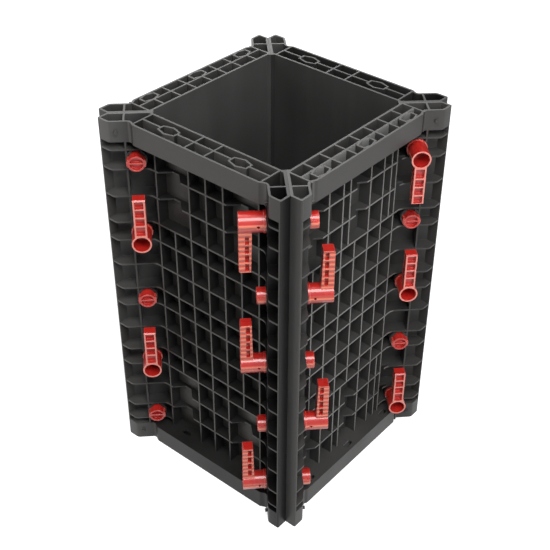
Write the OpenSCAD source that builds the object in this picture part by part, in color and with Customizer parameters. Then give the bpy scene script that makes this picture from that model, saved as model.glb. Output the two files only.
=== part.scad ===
// Reusable plastic column form: four ribbed panels meeting on 45 degree planes at the corners,
// joined by five quarter-turn handles per corner. Units are millimetres, Z is up, the origin
// is the middle of the column at floor level.

/* [Column] */
// Clear size between forming faces along X
column_x = 310; // [250:450]
// Clear size between forming faces along Y
column_y = 325; // [290:450]
// Height of the panels
height = 750; // [700:900]
// Leg of the bevel left on each concrete corner
bevel = 10; // [6:14]
// Slit between the flanges of neighbouring panels
slit = 0.2; // [0.1:0.6]

/* [Panel] */
// Thickness of the forming skin
skin = 4; // [3:6]
// Thickness of the ribs
rib = 3.5; // [2.5:5]
// Depth of the rib lattice behind the forming face
lattice = 28; // [24:34]
// Spacing of the upright ribs
upright_pitch = 40; // [36:44]
// Depth of the top and bottom frames
frame_depth = 54; // [48:60]
// Height of the top and bottom frames
band = 40; // [32:48]
// Wall of the frames
frame_wall = 4; // [3:5]
// Thickness of the shelf that closes each frame towards the lattice
shelf = 4; // [3:6]
// Depth of the dips in the outer lying ribs of the narrow pattern
dip = 18; // [8:20]
// Depth of the dips in the outer lying ribs of the wide pattern
notch = 12; // [6:14]

/* [Wings] */
// Thickness of the 45 degree flanges
flange = 5; // [4:7]
// Distance from the split plane to the face the hubs sit on
wing_face = 34; // [30:38]
// Reach of the wing past the inner corner, measured along the panel
wing_reach = 51; // [46:56]
// Depth of the wing tip behind the forming face
wing_depth = 74; // [70:80]
// Place of the upright wing rib along the flange
wing_rib = 43.5; // [43:46]
// Diameter of the bosses round the handle holes
boss_d = 38.5; // [36:41]
// Distance of the handle axes from the inner corner along the split plane
axis_out = 26.5; // [25:27]
// Diameter of the stacking pegs
peg_d = 7; // [5:9]
// Height of the stacking pegs above the wing face
peg_h = 5; // [3:7]

/* [Handles] */
// Height of the lowest handle axis, and of the highest below the top edge
first_axis = 75; // [73:82]
// Length of the shaft end that shows past the wing face
nose = 17; // [14:22]
// Reach of the locking lugs from the axis
lug_reach = 17.2; // [16.5:17.6]
// Height of the locking lugs
lug_h = 14; // [10:16]
// Diameter of the handle shaft
shaft_d = 29.9; // [29.8:29.92]
// Diameter of the hole for the shaft
bore_d = 30; // [29.98:30.1]
// Outer diameter of the hub
hub_d = 36; // [34:38]
// Diameter of the flange under the hub
collar_d = 39; // [38.4:42]
// Thickness of that flange
collar = 4; // [3:6]
// Distance from the split plane to the outer end of the hub
hub_end = 80; // [77:84]
// Reach of the lever from the axis
lever_reach = 93; // [86:100]
// Width of the lever
lever_w = 22; // [20:25]
// Thickness of the lever at the hub
lever_t = 22; // [20:24]
// Thickness of the lever at the tip
lever_tip_t = 20; // [18:22]
// Wall of the hub and the lever
lever_wall = 3; // [2.4:3.4]
// Depth of the channel in the outer face of the lever
channel = 8; // [6:9]
// Width of the pockets in the lever sides
pocket = 7; // [5:8]

/* [Hidden] */
$fn = 48;
r2 = sqrt(2);
gap = slit / 2;
mid = height / 2;
pitch = (height - 2 * first_axis) / 4;
beside = boss_d / 2 + 0.25;
nose_end = wing_face + nose;
seat = wing_face + 1;
body_x = column_x / 2;
body_y = column_y / 2;
// Offsets of the lying ribs from mid height; the last one only crosses the wings.
plain_ribs = [beside, pitch / 2, pitch - beside, pitch + beside];
dipped_ribs = [1.5 * pitch, 2 * pitch - beside];
outer_rib = 2 * pitch + beside;
// Centres of the six-sided pockets of the narrow and the wide pattern.
pair = [-1, 1] * column_x * 0.26;
triple = [-1, 0, 1] * column_y * 0.38;
// Profile of the rib dips, as [place from the pocket centre, depth].
wide_dip = [[28, 0], [13, notch], [-2, 0]];
narrow_dip = [[22, 0], [22 - dip - 3, dip], [dip - 33, dip], [-33, 0]];

// A plan point in panel coordinates [along, outward] from wing coordinates: u along the split
// plane from the inner corner, v square to it. h is half the inner length, s the end.
function wing(h, s, u, v) = [s * (h + (u - v) / r2), (u + v) / r2];

function unit(a) = a / norm(a);

// Points of an arc that rounds the corner p between a and b.
function corner(a, p, b, r, n = 4) =
  let (da = unit(a - p), db = unit(b - p), half = acos(da * db) / 2,
       c = p + unit(da + db) * r / sin(half), m = -unit(da + db),
       side = (da[0] * db[1] - da[1] * db[0]) > 0 ? 1 : -1)
  [for (i = [0 : n])
    let (t = side * (90 - half) * (1 - 2 * i / n) * -1)
    c + r * [m[0] * cos(t) + m[1] * sin(t), -m[0] * sin(t) + m[1] * cos(t)]];

function reversed(p) = [for (i = [len(p) - 1 : -1 : 0]) p[i]];

// Extrudes a plan drawing in [along, outward] coordinates from z0 to z1.
module raise(z0, z1)
  translate([0, 0, z0]) linear_extrude(z1 - z0) mirror([0, 1]) children();

// Outer half outline of a wing, from the tip inwards, shifted in by e; k is the lattice or
// frame line it runs into and r its fillet there.
function wing_tip(h, s, e) =
  let (a = [s * (h + wing_reach - e), wing_reach + 8],
       p = [s * (h + wing_reach - e), wing_depth - e],
       q = wing(h, s, (wing_depth - e) * r2 - wing_face + e, wing_face - e),
       b = wing(h, s, (frame_depth + 2) * r2 - wing_face + e, wing_face - e))
  concat([a], corner(a, p, q, 5 - e / 2), corner(p, q, b, 11 - e));

function frame_side(h, s, e) =
  let (k1 = [s * (h - 13 - e / 2), frame_depth - e],
       k2 = wing(h, s, (frame_depth - 6.5) * r2 - wing_face - e / 2, wing_face - e),
       a = wing(h, s, frame_depth * r2 - wing_face + e + 8, wing_face - e),
       b = [0, frame_depth - e])
  concat(wing_tip(h, s, e), corner(a, k2, k1, 7 + e), corner(k2, k1, b, 8 - e));

// Full-height walls: forming skin, bevelled lips, flanges, tip walls and wing ribs.
function wall_side(h, s) =
  let (t = wing_reach - frame_wall,
       a = [s * (h + wing_reach), wing_reach + gap * r2],
       p = [s * (h + wing_reach), wing_depth],
       b = [s * (h + t), wing_depth])
  concat(
    [[s * (h - bevel), 0], wing(h, s, -bevel / r2, gap), a],
    corner(a, p, b, 2.5),
    [b, [s * (h + t), t + flange * r2],
     wing(h, s, wing_rib + rib / 2, flange), wing(h, s, wing_rib + rib / 2, wing_face - 0.5),
     wing(h, s, wing_rib - rib / 2, wing_face - 0.5), wing(h, s, wing_rib - rib / 2, flange),
     wing(h, s, skin * r2 - flange, flange)]);

module walls(h) polygon(concat(wall_side(h, 1), reversed(wall_side(h, -1))));

// Lying rib: buried in the skin and flanges, free edge along the lattice line.
function rib_side(h, s, r) =
  let (t = wing_reach - frame_wall / 2, d = wing_depth,
       p = [s * (h + wing_reach - frame_wall - 1.5), d],
       q = wing(h, s, d * r2 - wing_face, wing_face),
       k = wing(h, s, lattice * r2 - wing_face, wing_face),
       b = [0, lattice])
  concat(
    [wing(h, s, skin / r2 - flange / 2, flange / 2), [s * (h + t), t + flange / r2],
     [s * (h + t), d - 1], p],
    corner(p, q, k, 11), corner(q, k, b, r));

module lying_rib(h, centres, profile)
  polygon(concat(rib_side(h, 1, 22),
    [for (c = reversed(centres), p = profile) [c + p[0], lattice - p[1]]],
    reversed(rib_side(h, -1, 14))));

module wing_only_rib(h, s, r)
  polygon(concat(rib_side(h, s, r),
    [[s * (3 * upright_pitch), lattice], [s * (3 * upright_pitch), skin / 2]]));

module upright(x) translate([x - rib / 2, skin / 2]) square([rib, lattice - 0.5 - skin / 2]);

function in_dip(x, centres, profile) =
  len([for (c = centres) if (x < c + profile[0][0] && x > c + profile[len(profile) - 1][0]) 1]) > 0;

// Upright ribs; those that would stand in a dip stop at the middle zone.
module lattice_ribs(h, wide) {
  centres = wide ? triple : pair;
  profile = wide ? wide_dip : narrow_dip;
  inner = pitch + beside;
  for (i = [-3 : 3])
    if (in_dip(i * upright_pitch, centres, profile))
      raise(mid - inner, mid + inner) upright(i * upright_pitch);
    else
      raise(band - shelf / 2, height - band + shelf / 2) upright(i * upright_pitch);
  if (wide)
    for (x = [for (c = centres) if (c > -h / 2) c - upright_pitch / 2]) {
      raise(mid + inner, height - band + shelf / 2) upright(x);
      raise(band - shelf / 2, mid - inner) upright(x);
    }
  for (k = [-1, 1]) {
    for (o = plain_ribs) raise(mid + k * o - rib / 2, mid + k * o + rib / 2) lying_rib(h, [], []);
    for (o = dipped_ribs)
      raise(mid + k * o - rib / 2, mid + k * o + rib / 2) lying_rib(h, centres, profile);
    raise(mid + k * outer_rib - rib / 2, mid + k * outer_rib + rib / 2) {
      wing_only_rib(h, 1, 22);
      wing_only_rib(h, -1, 14);
    }
  }
}

// Six-sided pocket wall, a half width and b half depth.
module six(a, b) polygon([[0, b], [a, 0.56 * b], [a, -0.56 * b], [0, -b], [-a, -0.56 * b],
  [-a, 0.56 * b]]);

module slot() {
  translate([-6, -5]) square([12, 10]);
  for (x = [-6, 6]) translate([x, 0]) circle(5);
}

// Plan of the ribs inside a frame. wide is the pattern with three pockets.
module frame_grid(h, wide) {
  e = h - (wide ? 3 : 11);
  y = wide ? 28 : 26.5;
  for (s = [-1, 1]) {
    translate([s * e - rib / 2, skin / 2]) square([rib, frame_depth - 2 - skin / 2]);
    for (x = wide ? [h / 4, h / 2] : [22])
      translate([s * x - rib / 2, skin / 2]) square([rib, frame_depth - 2 - skin / 2]);
  }
  translate([-e, y - rib / 2]) square([2 * e, rib]);
  if (wide)
    for (x = triple) translate([x - rib / 2, skin / 2]) square([rib, 28]);
}

module frame_plan(h, wide) {
  c = wide ? triple : pair;
  size = wide ? [18.5, 13.5] : [20.5, 14.5];
  d = wide ? 40 : 27;
  difference() {
    union() {
      frame_grid(h, wide);
      for (x = c) translate([x, d]) six(size[0], size[1]);
    }
    for (x = c) translate([x, d]) six(size[0] - rib, size[1] - rib * 1.1);
  }
}

module frame_strip(h)
  polygon(concat(frame_side(h, 1, 0), reversed(frame_side(h, -1, 0)),
    frame_side(h, -1, frame_wall), reversed(frame_side(h, 1, frame_wall))));

module shelf_plan(h, wide) {
  t = wing_reach - frame_wall / 2;
  difference() {
    polygon(concat(
      [wing(h, 1, skin / r2 - flange / 2, flange / 2), [h + t, t + flange / r2]],
      frame_side(h, 1, frame_wall / 2), reversed(frame_side(h, -1, frame_wall / 2)),
      [[-h - t, t + flange / r2], wing(h, -1, skin / r2 - flange / 2, flange / 2)]));
    for (x = wide ? triple : pair) translate([x, wide ? 40 : 27]) slot();
  }
}

// One frame, standing upright with its shelf down, z0 at the shelf side.
module frame(h, wide, z0, z1, shelf_z) {
  raise(z0, z1) frame_strip(h);
  raise(z0, z1) frame_plan(h, wide);
  raise(shelf_z, shelf_z + shelf) shelf_plan(h, wide);
}

// Places children on the flange at the handle axis, local X square to the flange.
module on_wing(h, s, z)
  translate([s * (h + axis_out / r2), -axis_out / r2, z])
    rotate([0, 0, s > 0 ? 225 : -45]) children();

module rod(d, a, b) translate([a, 0, 0]) rotate([0, 90, 0]) cylinder(d = d, h = b - a);

module panel(h, wide) {
  difference() {
    union() {
      raise(0, height) walls(h);
      lattice_ribs(h, wide);
      frame(h, wide, 0, band, band - shelf);
      frame(h, wide, height - band, height, height - band);
      for (s = [-1, 1]) {
        for (i = [-2 : 2]) on_wing(h, s, mid + i * pitch) rod(boss_d, flange / 2, seat);
        for (z = [band / 2, height - band / 2])
          on_wing(h, s, z) translate([0, s * (58 - axis_out), 0])
            rod(peg_d, wing_face - 3, wing_face + peg_h);
      }
    }
    // Holes for the handle shafts, with an upright keyway that lets the lugs through.
    for (s = [-1, 1], i = [-2 : 2])
      on_wing(h, s, mid + i * pitch) {
        rod(bore_d, -1, seat + 1);
        translate([-1, -lug_h / 2 - 0.4, -lug_reach - 0.4])
          cube([seat + 2, lug_h + 0.8, 2 * lug_reach + 0.8]);
      }
  }
}

// Handle: shaft along local X, lever upwards, hub on the +X side.
module lever_side()
  polygon([[hub_end, 0], [hub_end, lever_reach - 2], [hub_end - 2, lever_reach],
    [hub_end - lever_tip_t, lever_reach], [hub_end - lever_t, hub_d / 2], [hub_end - lever_t, 0]]);

module handle() {
  first = hub_d / 2 + 21;
  cell = (lever_reach - lever_wall / 2 - first) / 3;
  difference() {
    union() {
      rod(shaft_d, -nose_end, seat + 2);
      intersection() {
        rod(2 * lug_reach, -nose_end + 2, -seat - 0.6);
        translate([-nose_end, -20, -lug_h / 2]) cube([nose, 40, lug_h]);
      }
      rod(collar_d, seat + 0.1, seat + collar);
      rod(hub_d, seat + collar - 1, hub_end);
      translate([0, lever_w / 2, 0]) rotate([90, 0, 0]) linear_extrude(lever_w) lever_side();
    }
    rod(hub_d - 2 * lever_wall, seat + collar + 3, hub_end + 1);
    // Hollow end of the shaft with a cross wall.
    difference() {
      rod(shaft_d - 2 * lever_wall, -nose_end - 1, -nose_end + 7);
      translate([-nose_end + 1.5, -20, -lever_wall / 2]) cube([10, 40, lever_wall]);
    }
    // Ladder of pockets in the outer face and in both sides of the lever.
    for (i = [0 : 3]) {
      z0 = i == 0 ? hub_d / 2 + 1 : first + (i - 1) * cell + lever_wall / 2;
      z1 = i == 3 ? lever_reach - lever_wall : first + i * cell - lever_wall / 2;
      translate([hub_end - channel, lever_wall - lever_w / 2, z0])
        cube([channel + 1, lever_w - 2 * lever_wall, z1 - z0]);
      for (y = [-lever_w / 2 - 1, lever_wall / 2])
        translate([hub_end - channel - 2 - pocket, y, i == 0 ? z0 + 3 : z0])
          cube([pocket, lever_w / 2 + 1 - lever_wall / 2, z1 - (i == 0 ? z0 + 3 : z0)]);
    }
    translate([48, 0, 0]) rotate([90, 0, 0]) cylinder(d = 5, h = hub_d + 2, center = true);
  }
}

// Panels in turn: front, right, back, left.
function half_of(i) = i % 2 == 0 ? body_x : body_y;

module place(i) rotate([0, 0, 90 * i])
  translate([0, i % 2 == 0 ? -body_y : -body_x, 0]) children();

// Handle k (1 lowest) at the corner between panel i and the next one. Odd levels carry the
// hub on panel i, even levels on its neighbour; the top lever hangs down.
module handle_at(i, k) {
  z = mid + (k - 3) * pitch;
  j = k % 2 == 1 ? i : i + 1;
  place(j) on_wing(half_of(j), k % 2 == 1 ? 1 : -1, z) rotate([k == 5 ? 180 : 0, 0, 0]) handle();
}

module panel_front() color([0.16, 0.155, 0.15]) place(0) panel(body_x, false);
module panel_right() color([0.16, 0.155, 0.15]) place(1) panel(body_y, true);
module panel_back() color([0.16, 0.155, 0.15]) place(2) panel(body_x, false);
module panel_left() color([0.16, 0.155, 0.15]) place(3) panel(body_y, true);

module red() color([0.82, 0.1, 0.05]) children();
module handle_front_right_1() red() handle_at(0, 1);
module handle_front_right_2() red() handle_at(0, 2);
module handle_front_right_3() red() handle_at(0, 3);
module handle_front_right_4() red() handle_at(0, 4);
module handle_front_right_5() red() handle_at(0, 5);
module handle_right_back_1() red() handle_at(1, 1);
module handle_right_back_2() red() handle_at(1, 2);
module handle_right_back_3() red() handle_at(1, 3);
module handle_right_back_4() red() handle_at(1, 4);
module handle_right_back_5() red() handle_at(1, 5);
module handle_back_left_1() red() handle_at(2, 1);
module handle_back_left_2() red() handle_at(2, 2);
module handle_back_left_3() red() handle_at(2, 3);
module handle_back_left_4() red() handle_at(2, 4);
module handle_back_left_5() red() handle_at(2, 5);
module handle_left_front_1() red() handle_at(3, 1);
module handle_left_front_2() red() handle_at(3, 2);
module handle_left_front_3() red() handle_at(3, 3);
module handle_left_front_4() red() handle_at(3, 4);
module handle_left_front_5() red() handle_at(3, 5);

panel_front();
panel_right();
panel_back();
panel_left();
handle_front_right_1();
handle_front_right_2();
handle_front_right_3();
handle_front_right_4();
handle_front_right_5();
handle_right_back_1();
handle_right_back_2();
handle_right_back_3();
handle_right_back_4();
handle_right_back_5();
handle_back_left_1();
handle_back_left_2();
handle_back_left_3();
handle_back_left_4();
handle_back_left_5();
handle_left_front_1();
handle_left_front_2();
handle_left_front_3();
handle_left_front_4();
handle_left_front_5();
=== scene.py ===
import math

import bpy
from mathutils import Matrix, Vector


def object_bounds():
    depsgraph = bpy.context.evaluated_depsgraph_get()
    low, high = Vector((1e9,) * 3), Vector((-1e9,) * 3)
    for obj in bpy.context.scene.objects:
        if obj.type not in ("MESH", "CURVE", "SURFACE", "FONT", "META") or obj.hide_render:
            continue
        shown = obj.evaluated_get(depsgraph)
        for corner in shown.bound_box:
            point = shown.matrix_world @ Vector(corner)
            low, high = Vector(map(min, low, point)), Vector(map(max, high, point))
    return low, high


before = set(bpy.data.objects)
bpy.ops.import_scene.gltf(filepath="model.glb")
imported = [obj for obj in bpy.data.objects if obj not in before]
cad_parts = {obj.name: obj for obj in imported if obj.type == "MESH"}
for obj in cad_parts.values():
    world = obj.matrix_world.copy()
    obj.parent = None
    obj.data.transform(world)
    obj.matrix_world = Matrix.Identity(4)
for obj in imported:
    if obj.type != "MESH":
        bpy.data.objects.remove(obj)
cad_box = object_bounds()
scene = bpy.context.scene

# The way that the outside of each panel looks, and the way that each corner points.
SIDES = {"front": (0, -1), "right": (1, 0), "back": (0, 1), "left": (-1, 0)}
CORNERS = {"front_right": (1, -1), "right_back": (1, 1), "back_left": (-1, 1), "left_front": (-1, -1)}
UP = (0, 0, 1)

# Places on the solids, in metres. The forming faces are half of column_x and column_y in part.scad
# away from the middle; depths are measured outwards from them.
FORMING_FACE_X, FORMING_FACE_Y = 0.155, 0.1625
SKIN_START, SKIN_END = 0.001, 0.003
RIB_EDGE_START, RIB_EDGE_END = 0.024, 0.027
WING_EDGE_START, WING_EDGE_END = 0.050, 0.052
WING_START, WING_END = 0.145, 0.175
BOTTOM_BAND_START, BOTTOM_BAND_END = 0.050, 0.075
TOP = cad_box[1][2]
TOP_EDGE_START, TOP_EDGE_END = TOP - 0.005, TOP - 0.002
RIM_START, RIM_END = 0.004, 0.002
RIDGE_PITCH = 0.0096

# Colours, as base colours of the plastic.
# Painted light: outer faces lighter, as if lit while the rib sides are in shade.
PAINTED_LIT_FACE = (0.22, 0.212, 0.202)
# Painted highlight on the rib edges and round the top.
PAINTED_EDGE_HIGHLIGHT = (0.30, 0.297, 0.292)
# Painted light on one wing of the front and back, and painted shade on the other.
PAINTED_WING_LIGHT = (0.12, 0.119, 0.117)
PAINTED_WING_SHADE = (0.002, 0.002, 0.002)
# The forming face's own lighter grey, raised further as painted light for the shaded inside of the
# column.
INNER_TONE_AND_LIGHT_DARK, INNER_TONE_AND_LIGHT_LIGHT = (0.052, 0.052, 0.051), (0.074, 0.073, 0.072)
RED_DARK, RED_LIGHT = (0.44, 0.014, 0.012), (0.58, 0.026, 0.018)
# Painted light: the lever's sides orange as if lit, with a painted highlight on each ridge.
PAINTED_LIT_GROOVE_RED, PAINTED_HIGHLIGHT_RIDGE_RED = (0.50, 0.06, 0.035), (0.80, 0.19, 0.11)
# Painted highlights on the hub's outer rim and on the handle's edges.
PAINTED_RIM_HIGHLIGHT, PAINTED_CORNER_HIGHLIGHT = (0.88, 0.30, 0.245), (0.92, 0.36, 0.28)
PAPER_DARK, PAPER_LIGHT = (0.54, 0.54, 0.54), (0.56, 0.56, 0.56)

# How dark, light and dusty the plastic of a pair of panels is, how much painted light its outer faces
# get and how strong the painted highlight on its rib edges is. The front and the back are the darker
# pair, a shaded copy of the same plastic, and the sides a lit copy: painted shade and painted light.
SHADED_PAIR = {"dark": 0.016, "light": 0.023, "dust": 0.042, "rubbed": 0.21, "scuffed": 0.08}
LIT_PAIR = {"dark": 0.044, "light": 0.057, "dust": 0.09, "rubbed": 0.0, "scuffed": 0.54}

# ---------------------------------------------------------------- materials


class Shader:
    """A node material with short helpers for the nodes used below."""

    def __init__(self, name, roughness, **sockets):
        self.material = bpy.data.materials.new(name)
        self.material.use_nodes = True
        self.tree = self.material.node_tree
        self.surface = self.tree.nodes["Principled BSDF"]
        self.surface.inputs["Roughness"].default_value = roughness
        for key, value in sockets.items():
            self.surface.inputs[key.replace("_", " ")].default_value = value
        own = self.add("ShaderNodeTexCoord").outputs
        self.place, self.normal = own["Object"], own["Normal"]

    def add(self, kind, **settings):
        node = self.tree.nodes.new(kind)
        for key, value in settings.items():
            setattr(node, key, value)
        return node

    def link(self, a, b):
        self.tree.links.new(a, b)

    def noise(self, scale, detail, stretch=None):
        node = self.add("ShaderNodeTexNoise")
        node.inputs["Scale"].default_value = scale
        node.inputs["Detail"].default_value = detail
        source = self.place
        if stretch:
            mapping = self.add("ShaderNodeMapping")
            mapping.inputs["Scale"].default_value = stretch
            self.link(source, mapping.inputs["Vector"])
            source = mapping.outputs["Vector"]
        self.link(source, node.inputs["Vector"])
        return node.outputs["Fac"]

    def ramp(self, value, *stops):
        """A colour ramp over two (position, colour) stops."""
        node = self.add("ShaderNodeValToRGB")
        for element, (at, colour) in zip(node.color_ramp.elements, stops):
            element.position = at
            element.color = (*colour, 1)
        self.link(value, node.inputs["Fac"])
        return node.outputs["Color"]

    def scaled(self, value, low, high, start=0.0, end=1.0):
        """Maps start..end of a value to low..high, and keeps it between them."""
        node = self.add("ShaderNodeMapRange")
        for key, number in (("From Min", start), ("From Max", end), ("To Min", low), ("To Max", high)):
            node.inputs[key].default_value = number
        self.link(value, node.inputs["Value"])
        return node.outputs["Result"]

    def mix(self, fac, a, b):
        """Mixes two colours, each a socket or plain numbers."""
        node = self.add("ShaderNodeMix", data_type="RGBA")
        self.link(fac, node.inputs["Factor"])
        for socket, value in ((node.inputs["A"], a), (node.inputs["B"], b)):
            if isinstance(value, bpy.types.NodeSocket):
                self.link(value, socket)
            else:
                socket.default_value = (*value, 1)
        return node.outputs["Result"]

    def math(self, operation, a, b=None):
        node = self.add("ShaderNodeMath", operation=operation)
        self.link(a, node.inputs[0])
        if b:
            self.link(b, node.inputs[1])
        return node.outputs[0]

    def dot(self, a, b):
        """Dot product of a socket with another socket or a fixed direction."""
        node = self.add("ShaderNodeVectorMath", operation="DOT_PRODUCT")
        self.link(a, node.inputs[0])
        if isinstance(b, bpy.types.NodeSocket):
            self.link(b, node.inputs[1])
        else:
            node.inputs[1].default_value = Vector(b).to_3d()
        return node.outputs["Value"]

    def beyond(self, way, start, end):
        """0 before start, 1 past end, measured along way from the middle of the column."""
        return self.scaled(self.dot(self.place, way), 0.0, 1.0, start, end)

    def facing(self, way, start, end):
        """1 on faces that look along way and lie beyond start..end along it, 0 elsewhere."""
        looks = self.scaled(self.dot(self.normal, way), 0.0, 1.0, 0.80, 0.97)
        return self.math("MULTIPLY", looks, self.beyond(way, start, end))

    def rounded(self, radius, samples):
        """Normals that look as if the edges had this radius."""
        node = self.add("ShaderNodeBevel", samples=samples)
        node.inputs["Radius"].default_value = radius
        return node.outputs["Normal"]

    def bump(self, height, strength, distance, under):
        node = self.add("ShaderNodeBump")
        node.inputs["Strength"].default_value = strength
        node.inputs["Distance"].default_value = distance
        self.link(height, node.inputs["Height"])
        self.link(under, node.inputs["Normal"])
        return node.outputs["Normal"]


def black(value):
    """The panels' plastic, black to grey with a trace of warmth."""
    return (value, value * 0.975, value * 0.95)


def panel_plastic(side, dark, light, dust, rubbed, scuffed):
    """Black ribbed plastic, lighter grey on the forming face, partly its own tone and partly painted
    light for the shaded inside of the column; painted light on the outer faces and painted highlights on
    the edges.
    """
    x, y = out = SIDES[side]
    face = FORMING_FACE_X if x else FORMING_FACE_Y
    s = Shader("panel_plastic_" + side, 0.4, IOR=1.5, Specular_IOR_Level=0.22)
    cloud = s.noise(9, 5)
    streak = s.noise(14, 5, (1, 1, 0.12))
    grain = s.noise(1500, 2)
    base = s.ramp(cloud, (0.3, black(dark)), (0.7, black(light)))
    colour = s.mix(s.scaled(streak, 0.0, 0.3, 0.5, 0.8), base, (dust, dust * 0.98, dust * 0.96))
    if not x:
        # The front and the back get painted light on one wing and painted shade on the other.
        painted_light_wing = s.scaled(s.dot(s.place, (-1, 0)), 0.0, 0.48, WING_START, WING_END)
        painted_shade_wing = s.scaled(s.dot(s.place, (1, 0)), 0.0, 0.80, WING_START, WING_END)
        colour = s.mix(painted_shade_wing, s.mix(painted_light_wing, colour, PAINTED_WING_LIGHT), PAINTED_WING_SHADE)
    # Painted light on the outer faces, as if lit while the rib sides lie in shade; it fades out at the
    # foot of the panel, a painted shade near the bottom.
    above_foot = s.scaled(s.dot(s.place, UP), 0.0, rubbed, BOTTOM_BAND_START, BOTTOM_BAND_END)
    outer = s.facing(out, face + SKIN_START, face + SKIN_END)
    colour = s.mix(s.math("MULTIPLY", outer, above_foot), colour, PAINTED_LIT_FACE)
    # The edges of the lattice's ribs get a painted highlight, and the edges round the top a weaker one.
    before_wing = s.scaled(s.dot(s.place, out), 1.0, 0.0, face + WING_EDGE_START, face + WING_EDGE_END)
    rib_edge = s.math("MULTIPLY", s.facing(out, face + RIB_EDGE_START, face + RIB_EDGE_END), before_wing)
    colour = s.mix(s.scaled(rib_edge, 0.0, scuffed), colour, PAINTED_EDGE_HIGHLIGHT)
    # A weaker painted highlight round the top.
    top_edge = s.scaled(s.facing(UP, TOP_EDGE_START, TOP_EDGE_END), 0.0, 0.20)
    colour = s.mix(top_edge, colour, PAINTED_EDGE_HIGHLIGHT)
    # The forming face's own lighter grey, raised further as painted light for the shaded inside of the
    # column.
    inner_tone_and_light = s.ramp(streak, (0.35, INNER_TONE_AND_LIGHT_DARK), (0.7, INNER_TONE_AND_LIGHT_LIGHT))
    colour = s.mix(s.facing((-x, -y), -face - SKIN_START, -face + SKIN_START), colour, inner_tone_and_light)
    s.link(colour, s.surface.inputs["Base Color"])
    s.link(s.scaled(cloud, 0.34, 0.5, 0.3, 0.7), s.surface.inputs["Roughness"])
    s.link(s.bump(grain, 0.12, 0.0002, s.rounded(0.0009, 3)), s.surface.inputs["Normal"])
    return s.material


def handle_plastic(name, out, end):
    """Glossy red plastic with ridges on the sides of the lever, painted orange there as if lit, with
    painted highlights on its edges and on the outer rim of the hub.

    The hub points along out and ends at the distance end along it."""
    s = Shader("handle_plastic_" + name, 0.3, IOR=1.5, Specular_IOR_Level=0.35,
               Coat_Weight=0.6, Coat_Roughness=0.12)
    cloud = s.noise(22, 4)
    grain = s.noise(900, 2)
    wave = s.add("ShaderNodeTexWave", bands_direction="Z")
    # A wave texture of scale 1 repeats every pi / 10 metres.
    wave.inputs["Scale"].default_value = math.pi / 10 / RIDGE_PITCH
    s.link(s.place, wave.inputs["Vector"])
    ridge = wave.outputs["Fac"]
    sideways = s.math("ABSOLUTE", s.dot(s.normal, (-out[1], out[0])))
    grip = s.scaled(sideways, 0.0, 1.0, 0.94, 0.99)
    red = s.ramp(cloud, (0.3, RED_DARK), (0.7, RED_LIGHT))
    # Painted light on the lever's sides, orange as if lit, with a painted highlight on each ridge; the
    # ridges' bump is real.
    painted_lit_ridges = s.ramp(ridge, (0.2, PAINTED_LIT_GROOVE_RED), (0.8, PAINTED_HIGHLIGHT_RIDGE_RED))
    # A painted highlight on the outer rim of the hub.
    rim_highlight = s.scaled(s.facing(out, end - RIM_START, end - RIM_END), 0.0, 0.8)
    colour = s.mix(rim_highlight, s.mix(grip, red, painted_lit_ridges), PAINTED_RIM_HIGHLIGHT)
    # Where the rounded normal leaves the true one, there is an edge, and it gets a painted highlight.
    soft = s.rounded(0.0012, 4)
    true = s.add("ShaderNodeNewGeometry").outputs["Normal"]
    edge = s.scaled(s.dot(soft, true), 0.7, 0.0, 0.80, 0.97)
    s.link(s.mix(edge, colour, PAINTED_CORNER_HIGHLIGHT), s.surface.inputs["Base Color"])
    s.link(s.scaled(cloud, 0.24, 0.34, 0.3, 0.7), s.surface.inputs["Roughness"])
    ribbed = s.bump(s.math("MULTIPLY", grip, ridge), 1.0, 0.0012, soft)
    s.link(s.bump(grain, 0.08, 0.00015, ribbed), s.surface.inputs["Normal"])
    return s.material


def studio_white(tree, strength, dim, bright):
    """Bright for camera, glossy and transmission rays, dim for the light on the object."""
    path = tree.nodes.new("ShaderNodeLightPath")
    seen = path.outputs["Is Camera Ray"]
    for ray in ("Is Glossy Ray", "Is Transmission Ray"):
        either = tree.nodes.new("ShaderNodeMath")
        either.operation = "MAXIMUM"
        tree.links.new(seen, either.inputs[0])
        tree.links.new(path.outputs[ray], either.inputs[1])
        seen = either.outputs[0]
    level = tree.nodes.new("ShaderNodeMapRange")
    level.inputs["To Min"].default_value = dim
    level.inputs["To Max"].default_value = bright
    tree.links.new(seen, level.inputs["Value"])
    tree.links.new(level.outputs["Result"], strength)


def floor_paper():
    """Pale paper that reads as white and still takes the object's shadow."""
    s = Shader("floor_paper", 0.9)
    tone = s.ramp(s.noise(3, 3), (0.3, PAPER_DARK), (0.7, PAPER_LIGHT))
    s.link(tone, s.surface.inputs["Base Color"])
    glow = s.add("ShaderNodeEmission")
    studio_white(s.tree, glow.inputs["Strength"], 0.0, 0.8)
    both = s.add("ShaderNodeAddShader")
    s.link(s.surface.outputs[0], both.inputs[0])
    s.link(glow.outputs[0], both.inputs[1])
    s.link(both.outputs[0], s.tree.nodes["Material Output"].inputs["Surface"])
    return s.material


# ---------------------------------------------------------------- the CAD nodes


def dress(node, material):
    """Gives a CAD node its material, smooth on curved faces and crisp at the edges."""
    node.data.materials.clear()
    node.data.materials.append(material)
    weld = node.modifiers.new("weld", "WELD")
    weld.merge_threshold = 0.00002
    crisp = node.modifiers.new("crisp_edges", "EDGE_SPLIT")
    crisp.split_angle = math.radians(30)
    for polygon in node.data.polygons:
        polygon.use_smooth = True


def dress_panels():
    for side, (x, _) in SIDES.items():
        tones = LIT_PAIR if x else SHADED_PAIR
        dress(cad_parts["panel_" + side], panel_plastic(side, **tones))


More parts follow.
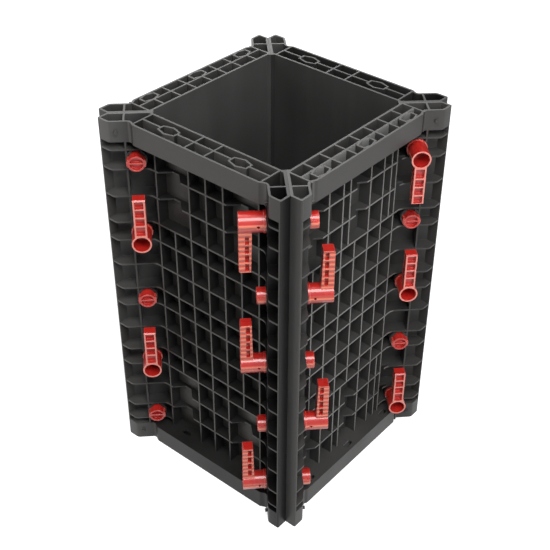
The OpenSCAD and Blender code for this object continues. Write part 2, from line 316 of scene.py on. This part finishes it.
def dress_handles():
    """One material for each corner and each of the two ways that its hubs point."""
    reds = {}
    for name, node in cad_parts.items():
        if not name.startswith("handle"):
            continue
        corner = name[len("handle_"):-len("_1")]
        x, y = (c * math.sqrt(0.5) for c in CORNERS[corner])
        points = [v.co.to_2d() for v in node.data.vertices]
        ends = [(max(p.dot(way) for p in points), way) for way in (Vector((y, -x)), Vector((-y, x)))]
        end, out = max(ends, key=lambda e: e[0])
        key = corner + ("_a" if out.x * x - out.y * y > 0 else "_b")
        if key not in reds:
            reds[key] = handle_plastic(key, tuple(out), end)
        dress(node, reds[key])


# ---------------------------------------------------------------- studio


def make_floor():
    bpy.ops.mesh.primitive_plane_add(size=14, location=(0, 0, 0))
    floor = bpy.context.object
    floor.name = "floor"
    floor.data.materials.append(floor_paper())


def area_light(name, place, aim, size, power, colour=(1, 1, 1)):
    data = bpy.data.lights.new(name, "AREA")
    data.shape = "RECTANGLE"
    data.size, data.size_y = size
    data.energy = power
    data.color = colour
    light = bpy.data.objects.new(name, data)
    light.location = place
    light.rotation_euler = (Vector(aim) - Vector(place)).to_track_quat("-Z", "Y").to_euler()
    scene.collection.objects.link(light)


def make_world(dim):
    world = bpy.data.worlds.new("studio")
    world.use_nodes = True
    back = world.node_tree.nodes["Background"]
    back.inputs["Color"].default_value = (1, 1, 1, 1)
    studio_white(world.node_tree, back.inputs["Strength"], dim, 1.0)
    scene.world = world


def make_camera(azimuth, elevation, roll, distance, target, lens, shift):
    """The photograph's viewpoint: azimuth 0 looks along +Y and grows towards +X."""
    a, e, r = (math.radians(angle) for angle in (azimuth, elevation, roll))
    back = Vector((math.sin(a) * math.cos(e), -math.cos(a) * math.cos(e), math.sin(e)))
    right = Vector((math.cos(a), math.sin(a), 0))
    up = back.cross(right)
    x = right * math.cos(r) + up * math.sin(r)
    y = back.cross(x)
    data = bpy.data.cameras.new("camera")
    data.lens = lens
    data.shift_x = shift
    camera = bpy.data.objects.new("camera", data)
    turn = Matrix((x, y, back)).transposed().to_4x4()
    camera.matrix_world = Matrix.Translation(Vector(target) + back * distance) @ turn
    scene.collection.objects.link(camera)
    scene.camera = camera


# The lists of places are in metres, the powers in watts.
dress_panels()
dress_handles()
make_floor()
make_world(dim=0.1)
area_light("right", (1.6, -0.35, 1.3), (0.1, 0, 0.5), (0.9, 1.1), 13)
area_light("high", (1.1, -0.97, 2.63), (0, 0, 0.45), (1.2, 1.2), 50)
area_light("left", (-0.95, -1.6, 1.4), (0, 0, 0.5), (0.85, 0.85), 8.5, (1, 0.96, 0.92))
area_light("top", (-0.4, 0.3, 2.9), (0, 0, 0.45), (1.4, 1.4), 17)
area_light("back", (-2.1, 2.2, 0.8), (0, 0, 0.4), (1.4, 1.4), 38)
# Fitted to the photograph's outline and corners. It was cut from a wider picture, so its middle
# isn't the lens's, and the shift makes up for that.
make_camera(azimuth=36.438, elevation=36.211, roll=2.494, distance=2.0974,
            target=(0.0812, 0.0670, 0.3828), lens=69.464, shift=-0.1000)
scene.view_settings.view_transform = "Standard"

bpy.context.view_layer.update()
